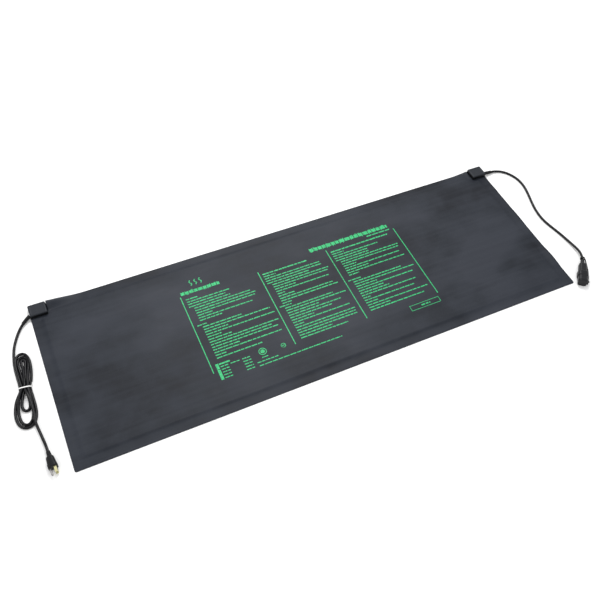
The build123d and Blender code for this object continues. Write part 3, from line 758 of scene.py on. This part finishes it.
def make_print():
    """The printed panel: a sign of three heat waves, three columns, a table, two marks and a box."""
    panel = Panel()
    rule_half, rule_low, rule_high = 1.3, -139, 137
    for x in (-353.3, -110.8, 115.4, 353.5):
        panel.rect(x - rule_half, x + rule_half, rule_low, rule_high)
    panel.row(-349, 146.0, 119, 14, (8, 14), 2.0)
    wave_x, wave_pitch, wave_half, wave_step = -309, 15, 1.6, 3.4
    wave_low, wave_high, sway = 166, 169.4, 2.4
    for k in range(3):
        x = wave_x + k * wave_pitch
        for j in range(6):
            lean = sway * math.sin(j * 1.25)
            panel.rect(x + lean - wave_half, x + lean + wave_half,
                       wave_low + j * wave_step, wave_high + j * wave_step)
    panel.row(68, 153.5, 271, 17, (10, 17), 2.2)
    panel.row(259, 138.5, 81, 5.2, (10, 22), 2.6)
    column(panel, -341.7, -328.8, 122.5, 9.3, [
        (0, 35), (0, 130), (0, 115), (0, 126), (1, 172), (1, 185), (1, 180), (1, 45), (1, 165), (1, 67),
        (0, 28, 24), (1, 117), (1, 201), (1, 69), (1, 208), (1, 42), (1, 69), (1, 208), (1, 183),
        (1, 199), (1, 78), (1, 202), (1, 31), (1, 135)])
    column(panel, -101.3, -88.3, 123.3, 9.28, [
        (0, 145, 123.3, 1), (0, 39), (0, 179), (0, 181), (0, 135), (1, 183), (1, 177), (1, 67), (1, 171),
        (1, 24), (1, 50), (1, 171), (1, 184), (1, 29), (0, 37), (1, 153), (1, 191), (1, 99), (1, 166),
        (1, 132), (1, 71), (1, 181), (1, 30), (1, 189), (1, 187), (1, 187), (1, 103), (1, 148)])
    column(panel, 126.3, 138.3, 123.3, 9.28, [
        (0, 198, 123.3, 1), (0, 40), (0, 153), (0, 112), (0, 112), (1, 198), (1, 195), (1, 43), (1, 188),
        (1, 76), (1, 196), (1, 34), (0, 41, 2.4), (1, 162), (1, 202), (1, 70), (1, 188), (1, 82),
        (1, 97), (1, 182), (1, 24), (1, 167), (1, 39), (1, 202), (1, 70), (1, 180)])
    panel.rect(-340.8, -332.5, -166, -114)
    panel.rect(-331, -299, -119.4, -114.6)
    for k in range(5):
        y = -126 - 9.2 * k
        panel.row(-329, y, 22, 3.8)
        panel.row(-266, y, 23, 3.8)
    panel.row(-300, -126, 26, 3.4)
    panel.ring(-205, -125, 11.5, 2.2)
    panel.disc(-205, -125, 6.2)
    panel.rect(-214, -196, -144.4, -141.6)
    panel.row(-232, -154, 62, 3.8)
    panel.ring(-144, -129, 7.2, 1.6)
    panel.rect(-148, -140, -130.2, -127.8)
    panel.row(-230, -165, 252, 3.8)
    for x0, x1, y0, y1 in ((249, 347, -151.6, -150.2), (249, 347, -168.8, -167.4),
                           (249, 250.4, -168.8, -150.2), (345.6, 347, -168.8, -150.2)):
        panel.rect(x0, x1, y0, y1)
    panel.row(285, -159.5, 30, 5.6, (8, 14), 2.5)
    mesh_from("printed_panel", panel.bm, M["print_green"], smooth=False)


make_print()


# ---------------------------------------------------------------- terminal boxes
CORNERS = ((1, 1, 0), (-1, 1, 90), (-1, -1, 180), (1, -1, 270))


def level_ring(x, y, z, hx, hy, corner, count=8):
    """A level ring of points round a rounded rectangle."""
    out = []
    for cx, cy, start in CORNERS:
        for k in range(count + 1):
            a = math.radians(start + 90 * k / count)
            px = x + cx * (hx - corner) + corner * math.cos(a)
            py = y + cy * (hy - corner) + corner * math.sin(a)
            out.append((px, py, z))
    return out


def stack(bm, rings, close_ends=True):
    """Skins a stack of equal rings."""
    made = [[bm.verts.new(p) for p in ring] for ring in rings]
    for lower, upper in zip(made, made[1:]):
        n = len(lower)
        for i in range(n):
            bm.faces.new((lower[i], lower[(i + 1) % n], upper[(i + 1) % n], upper[i]))
    if close_ends:
        bm.faces.new(made[0][::-1])
        bm.faces.new(made[-1])
    return made


def box_cover(name, side):
    """The terminal box's moulded cover: drafted walls, soft top edge, dished top panel, hollow below."""
    x, y = side * BOX_X, BOX_Y
    hx, hy = BOX_L / 2, BOX_W / 2
    rings = []
    for z, inset, corner in (
        (0.0046, 0.0017, 0.0020), (0.0046, 0.0004, 0.0026), (0.0050, 0.0000, 0.0030),
        (0.0062, 0.0000, 0.0030), (0.0066, 0.0004, 0.0030), (0.0070, 0.0000, 0.0030),
        (0.0110, 0.0002, 0.0032), (0.0137, 0.0004, 0.0034), (0.0149, 0.0009, 0.0036),
        (0.0158, 0.0019, 0.0038), (0.0163, 0.0031, 0.0036), (0.0165, 0.0045, 0.0032),
        (0.0165, 0.0058, 0.0028), (0.01615, 0.0064, 0.0026), (0.0161, 0.0074, 0.0024),
        (0.0161, 0.0120, 0.0020),
    ):
        rings.append(level_ring(x, y, z, hx - inset, hy - inset, corner))
    bm = bmesh.new()
    inner = [level_ring(x, y, z, hx - BOX_WALL - inset, hy - BOX_WALL - inset, 0.0016)
             for z, inset in ((0.0141, 0.0030), (0.0137, 0.0006), (0.0046, 0.0))]
    stack(bm, inner + rings)
    return mesh_from(name, bm, M["box_plastic"])


for side, end in ((-1, "power"), (1, "link")):
    cover = box_cover(end + "_cover", side)
    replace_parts(cover, end + "_box_cover")


# ---------------------------------------------------------------- boots, plug and connector
def frame_at(origin, direction):
    """A place with its forward, left and up directions."""
    f = Vector(direction).normalized()
    left = Vector((0, 0, 1)).cross(f).normalized()
    up = f.cross(left)
    return Vector(origin), f, left, up


def ribbed_boot(name, points, radii, ribs):
    """A tapered strain relief along a smooth line, with moulded ribs and notches."""
    cu = nurbs_curve("guide", points, 24)
    guide = bpy.data.objects.new("guide", cu)
    bpy.context.scene.collection.objects.link(guide)
    bpy.context.view_layer.update()
    me = bpy.data.meshes.new_from_object(guide)
    line = [v.co.copy() for v in me.vertices]
    bpy.data.objects.remove(guide)
    bpy.data.meshes.remove(me)
    bpy.data.curves.remove(cu)
    lengths = [0.0]
    for a, b in zip(line, line[1:]):
        lengths.append(lengths[-1] + (b - a).length)
    total = lengths[-1]

    def at(s):
        s = min(max(s, 0), total)
        for i in range(len(lengths) - 1):
            if lengths[i + 1] >= s:
                break
        t = (s - lengths[i]) / max(1e-9, lengths[i + 1] - lengths[i])
        return line[i].lerp(line[i + 1], t), (line[i + 1] - line[i]).normalized()

    rings = []
    rib_start, rib_span, rib_depth = 0.16, 0.72, 0.00075
    root_share, root_lip, rounding = 0.10, 0.0004, 0.0006
    tip_start, tip_share = 0.95, 0.05
    steps, sides = 90, 28
    for k in range(steps + 1):
        s = total * k / steps
        pos, way = at(s)
        f = k / steps
        r = lerp(radii[0], radii[1], f)
        phase = (f - rib_start) * ribs / rib_span
        if 0 < phase < ribs:
            r -= rib_depth * (0.5 - 0.5 * math.cos(2 * math.pi * phase)) ** 3
        if f < root_share:
            r = radii[0] + root_lip - rounding * smooth(f / root_share)
        if f > tip_start:
            r -= rounding * smooth((f - tip_start) / tip_share)
        origin, _, left, up = frame_at(pos, way)
        rings.append([tuple(origin + left * r * math.cos(a) + up * r * math.sin(a))
                      for a in [2 * math.pi * j / sides for j in range(sides)]])
    bm = bmesh.new()
    stack(bm, rings)
    return mesh_from(name, bm, M["boot_rubber"])


BOOT_RADII = (0.0057, 0.0050)
power_boot = ribbed_boot("power_boot", [(-0.7622, 0.2330, 0.0092), (-0.7690, 0.2285, 0.0088),
                                        (-0.7750, 0.2248, 0.0079), (-0.7850, 0.2160, 0.0064)],
                         BOOT_RADII, 6)
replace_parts(power_boot, "power_cord_boot")
link_boot = ribbed_boot("link_boot", [(0.7622, 0.2330, 0.0092), (0.7700, 0.2332, 0.0089),
                                      (0.7760, 0.2334, 0.0082), (0.7890, 0.2335, 0.0067)],
                        BOOT_RADII, 6)
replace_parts(link_boot, "link_cord_boot")


def section(base, station, half_left, half_up, corner, count=7):
    """A rounded rectangle square to an axis."""
    origin, f, left, up = base
    centre = origin + f * station
    out = []
    corner = min(corner, half_left, half_up)
    for cx, cy, start in CORNERS:
        for k in range(count + 1):
            a = math.radians(start + 90 * k / count)
            dx = cx * (half_left - corner) + corner * math.cos(a)
            dy = cy * (half_up - corner) + corner * math.sin(a)
            out.append(tuple(centre + left * dx + up * dy))
    return out


def moulding(profile, base):
    """Rings from rows of station, half width, half height and corner, in millimetres."""
    return [section(base, s / 1000, w / 1000, h / 1000, c / 1000) for s, w, h, c in profile]


def neck_rows(length, r0, r1, ribs):
    """The plug's own strain relief: a cone with round grooves."""
    rows = []
    n = ribs * 8
    depth = 0.55
    for k in range(n + 1):
        f = k / n
        groove = depth * (0.5 - 0.5 * math.cos(2 * math.pi * ribs * f)) ** 3
        r = lerp(r0, r1, f) - groove
        rows.append((length * f, r, r, r))
    return rows


def grip_rows(start, length, count, wide, high, corner, grooves, depth, share):
    """A grooved grip: wide and high are its half sizes at both ends, share is the depth on top."""
    rows = []
    for k in range(1, count):
        f = k / count
        groove = depth * (0.5 - 0.5 * math.cos(2 * math.pi * grooves * f)) ** 2
        rows.append((start + length * f, lerp(*wide, f) - groove, lerp(*high, f) - share * groove, corner))
    return rows


def moulded_piece(name, slot, base, rows):
    bm = bmesh.new()
    stack(bm, moulding(rows, base))
    return mesh_from(name, bm, M[slot])


yaw = math.radians(-87)
plug_base = frame_at((-0.808, -0.191, 0.012), (math.cos(yaw), math.sin(yaw), 0))
plug_rows = neck_rows(13, 5, 6.4, 4)
plug_rows += [(14.0, 6.9, 6.9, 6.4), (16.0, 8.2, 8.2, 6.4), (19.0, 9.5, 9.6, 6.2), (22.0, 10.1, 10.2, 6.2)]
plug_rows += grip_rows(22, 16, 33, (10.1, 11.2), (10.2, 11.4), 6.6, 4, 0.5, 0.25)
plug_rows += [
    (38.0, 11.2, 11.4, 6.8), (38.1, 11.8, 11.8, 7.0), (38.6, 12.0, 12.0, 7.0), (43.0, 12.0, 12.0, 7.0),
    (46.3, 12.0, 12.0, 7.0), (46.9, 11.7, 11.7, 6.8), (47.0, 11.1, 11.1, 6.4)]
plug_piece = moulded_piece("plug", "plug_plastic", plug_base, plug_rows)
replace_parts(plug_piece, "plug_body")

yaw = math.radians(232.3)
conn_base = frame_at((0.830, -0.213, 0.0137), (math.cos(yaw), math.sin(yaw), 0))
conn_rows = neck_rows(13, 5.5, 7.3, 3)
conn_rows += [(13.8, 7.9, 7.7, 7.3), (15.2, 9.6, 8.9, 7.2), (17.0, 11.0, 10.1, 7.2), (20.0, 11.6, 10.6, 7.0)]
conn_rows += grip_rows(20, 28, 34, (11.6, 12.7), (10.6, 11.4), 7.0, 5, 0.6, 0.35)
conn_rows += [
    (48.0, 12.7, 11.4, 7.0), (48.1, 14.9, 12.9, 7.8), (48.8, 15.4, 13.4, 8.0), (53.0, 15.5, 13.5, 8.0),
    (61.0, 15.5, 13.5, 8.0), (65.3, 15.4, 13.4, 8.0), (65.9, 14.9, 12.9, 7.8), (66.0, 13.4, 11.9, 7.0),
    (68.0, 13.4, 11.9, 7.0), (72.0, 13.2, 11.7, 7.0), (80.0, 13.3, 11.8, 7.0), (84.3, 13.4, 11.9, 7.0),
    (85.0, 12.8, 11.3, 6.6), (85.0, 12.0, 10.0, 5.0), (87.5, 12.0, 10.0, 5.0), (88.0, 11.5, 9.5, 4.6)]


def cut_holes(obj, base, station, holes, depth):
    """Sinks slots and a round hole in a face, with a boolean that is applied to the mesh.

    A slot gives its width and height, and a round hole its radius, in millimetres.
    """
    left, up = base[2:]
    slot_corner, past_face = 0.0006, 0.002
    ends = (station - depth, station + past_face)
    for kind, dx, dy, a, b in holes:
        bmh = bmesh.new()
        if kind == "slot":
            rings = [section(base, s, a / 2000, b / 2000, slot_corner) for s in ends]
        else:
            rings = [section(base, s, a / 1000, a / 1000, a / 1000, 8) for s in ends]
        off = left * dx / 1000 + up * dy / 1000
        rings = [[tuple(Vector(p) + off) for p in r] for r in rings]
        stack(bmh, rings)
        bmesh.ops.remove_doubles(bmh, verts=bmh.verts, dist=1e-7)
        bmesh.ops.recalc_face_normals(bmh, faces=bmh.faces)
        me = bpy.data.meshes.new("cutter")
        bmh.to_mesh(me)
        bmh.free()
        cutter = bpy.data.objects.new("cutter", me)
        bpy.context.scene.collection.objects.link(cutter)
        mod = obj.modifiers.new("cut", "BOOLEAN")
        mod.operation, mod.object, mod.solver = "DIFFERENCE", cutter, "EXACT"
        bpy.context.view_layer.update()
        done = bpy.data.meshes.new_from_object(obj.evaluated_get(bpy.context.evaluated_depsgraph_get()))
        obj.modifiers.remove(mod)
        obj.data = done
        bpy.data.objects.remove(cutter)
        bpy.data.meshes.remove(me)


conn_piece = moulded_piece("connector", "connector_plastic", conn_base, conn_rows)
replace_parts(conn_piece, "connector_body")
cut_holes(conn_piece, conn_base, 0.088,
          [("slot", -4.9, 6.35, 7.2, 2.2), ("slot", -4.9, -6.35, 7.2, 2.2), ("round", 7.0, 0, 2.6, 0)], 0.022)


# ---------------------------------------------------------------- twist tie
def tie_band():
    """The white tie round the hank's waist, with its two twisted ends."""
    bm = bmesh.new()
    half_w, half_h, mid_z = 16.4, 7.5, 8.0
    squareness = 3.4
    ring_n = 64
    loop = []
    for k in range(ring_n):
        a = 2 * math.pi * k / ring_n
        c, s = math.cos(a), math.sin(a)
        d = (abs(c) ** squareness + abs(s) ** squareness) ** (-1 / squareness)
        loop.append((half_w * c * d, mid_z + half_h * s * d))
    across = [(-1.7, 0.0), (-1.35, 0.26), (-0.55, 0.16), (-0.4, 0.42), (0.4, 0.42), (0.55, 0.16),
              (1.35, 0.26), (1.7, 0.0), (1.3, -0.12), (-1.3, -0.12)]
    rings = []
    for k, (v, z) in enumerate(loop):
        v0, z0 = loop[k - 1]
        v1, z1 = loop[(k + 1) % ring_n]
        tv, tz = v1 - v0, z1 - z0
        size = math.hypot(tv, tz)
        nv, nz = tz / size, -tv / size
        ring = []
        for u, h in across:
            ring.append(hank_point(v + nv * h, u, max(0.15, z + nz * h)))
        rings.append(ring)
    made = [[bm.verts.new(p) for p in r] for r in rings]
    n = len(across)
    for i in range(ring_n):
        a, b = made[i], made[(i + 1) % ring_n]
        for j in range(n):
            bm.faces.new((a[j], a[(j + 1) % n], b[(j + 1) % n], b[j]))
    tail_length, tail_lean, tail_v, tail_z = 14.2, math.radians(25), 17.0, 11.6
    tail_steps = 40
    strand_wide, strand_high = 1.35, 0.62
    twist_radius, twist_turns, twist_end = 0.62, 1.6, 0.8
    splay, splay_start, splay_share = 1.6, 0.72, 0.28
    for strand in (0, 1):
        rings = []
        for k in range(tail_steps + 1):
            f = k / tail_steps
            lift = tail_length * f
            v = tail_v + lift * math.sin(tail_lean)
            z = tail_z + lift * math.cos(tail_lean)
            open_out = twist_radius + splay * smooth((f - splay_start) / splay_share)
            turn = 2 * math.pi * twist_turns * min(f, twist_end) + math.pi * strand
            dv, du = open_out * math.cos(turn), open_out * math.sin(turn)
            ring = []
            for j in range(8):
                a = 2 * math.pi * j / 8
                w, h = strand_wide * math.cos(a), strand_high * math.sin(a)
                ca, sa = math.cos(turn + 0.9), math.sin(turn + 0.9)
                ring.append(hank_point(v + dv + w * ca - h * sa, du + w * sa + h * ca, z))
            rings.append(ring)
        stack(bm, rings)
    return mesh_from("twist_tie", bm, M["tie_plastic"])


tie = tie_band()
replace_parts(tie, "cord_tie")


# ---------------------------------------------------------------- materials on the CAD nodes that stay
FINISH = {
    "insulation_fleece": "fleece",
    "earth_foil": "foil",
    "heating_wire": "heater_sleeve",
    "carrier_felt": "felt",
    "live_conductor": "wire_black",
    "neutral_conductor": "wire_white",
    "earth_conductor": "wire_green",
    "thermal_cutout": "cutout_case",
    "plug_line_blade": "blade_metal",
    "plug_neutral_blade": "blade_metal",
    "plug_ground_pin": "pin_metal",
    "connector_blade_contacts": "terminal_brass",
    "connector_ground_contact": "terminal_brass",
    "cap_tether": "cap_rubber",
    "connector_cap": "cap_rubber",
}
for end in ("power", "link"):
    FINISH.update({
        end + "_box_clamp_plate": "plate_steel",
        end + "_box_gasket": "gasket_foam",
        end + "_box_base": "box_plastic",
        end + "_box_screws": "plate_steel",
        end + "_terminal_block": "block_plastic",
        end + "_terminal_screws": "terminal_brass",
        end + "_cord_cores": "core_sleeve",
    })
hidden = {n for o in bpy.data.objects for n in o.get("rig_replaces", [])}
for name, obj in frame["nodes"].items():
    if name in hidden:
        continue
    material = M[FINISH[name]]
    if obj.material_slots:
        for s in obj.material_slots:
            s.link = "OBJECT"
            s.material = material
    else:
        obj.data.materials.append(material)
SOFT_EDGES = {
    "plug_line_blade": 0.00025,
    "plug_neutral_blade": 0.00025,
    "connector_cap": 0.0006,
    "cap_tether": 0.0003,
}
for name, width in SOFT_EDGES.items():
    bevel = frame["nodes"][name].modifiers.new("edges", "BEVEL")
    bevel.width, bevel.segments = width, 3
    bevel.limit_method, bevel.angle_limit = "ANGLE", math.radians(35)


# ---------------------------------------------------------------- floor and light
FLOOR_REACH = 6
WORLD_STRENGTH = 0.80


def make_stage():
    me = bpy.data.meshes.new("floor")
    s = FLOOR_REACH
    me.from_pydata([(-s, -s, 0), (s, -s, 0), (s, s, 0), (-s, s, 0)], [], [(0, 1, 2, 3)])
    floor = bpy.data.objects.new("floor", me)
    bpy.context.scene.collection.objects.link(floor)
    n = Nodes("floor", (0.86, 0.86, 0.86), 0.75, spec=0.2)
    n.color(n.ramp(n.noise(3, 2), [(0.3, (0.85, 0.85, 0.85)), (0.7, (0.88, 0.88, 0.88))]))
    me.materials.append(n.m)
    world = bpy.data.worlds.new("world")
    bpy.context.scene.world = world
    world.use_nodes = True
    world.node_tree.nodes["Background"].inputs[0].default_value = (1, 1, 1, 1)
    world.node_tree.nodes["Background"].inputs[1].default_value = WORLD_STRENGTH
    for name, place, aim, size, power in (
        ("key", (0.6, 1.9, 3.0), (0, 0, 0), 1.6, 85),
        ("fill", (-2.6, 0.6, 2.4), (0, 0, 0), 1.6, 26),
        ("near", (0.4, -2.2, 2.6), (0, 0, 0), 1.8, 20),
    ):
        la = bpy.data.lights.new(name, "AREA")
        la.size, la.energy = size, power
        ob = bpy.data.objects.new(name, la)
        ob.location = place
        ob.rotation_euler = (Vector(aim) - Vector(place)).to_track_quat("-Z", "Y").to_euler()
        bpy.context.scene.collection.objects.link(ob)
    bpy.context.scene.view_settings.view_transform = "Standard"


make_stage()
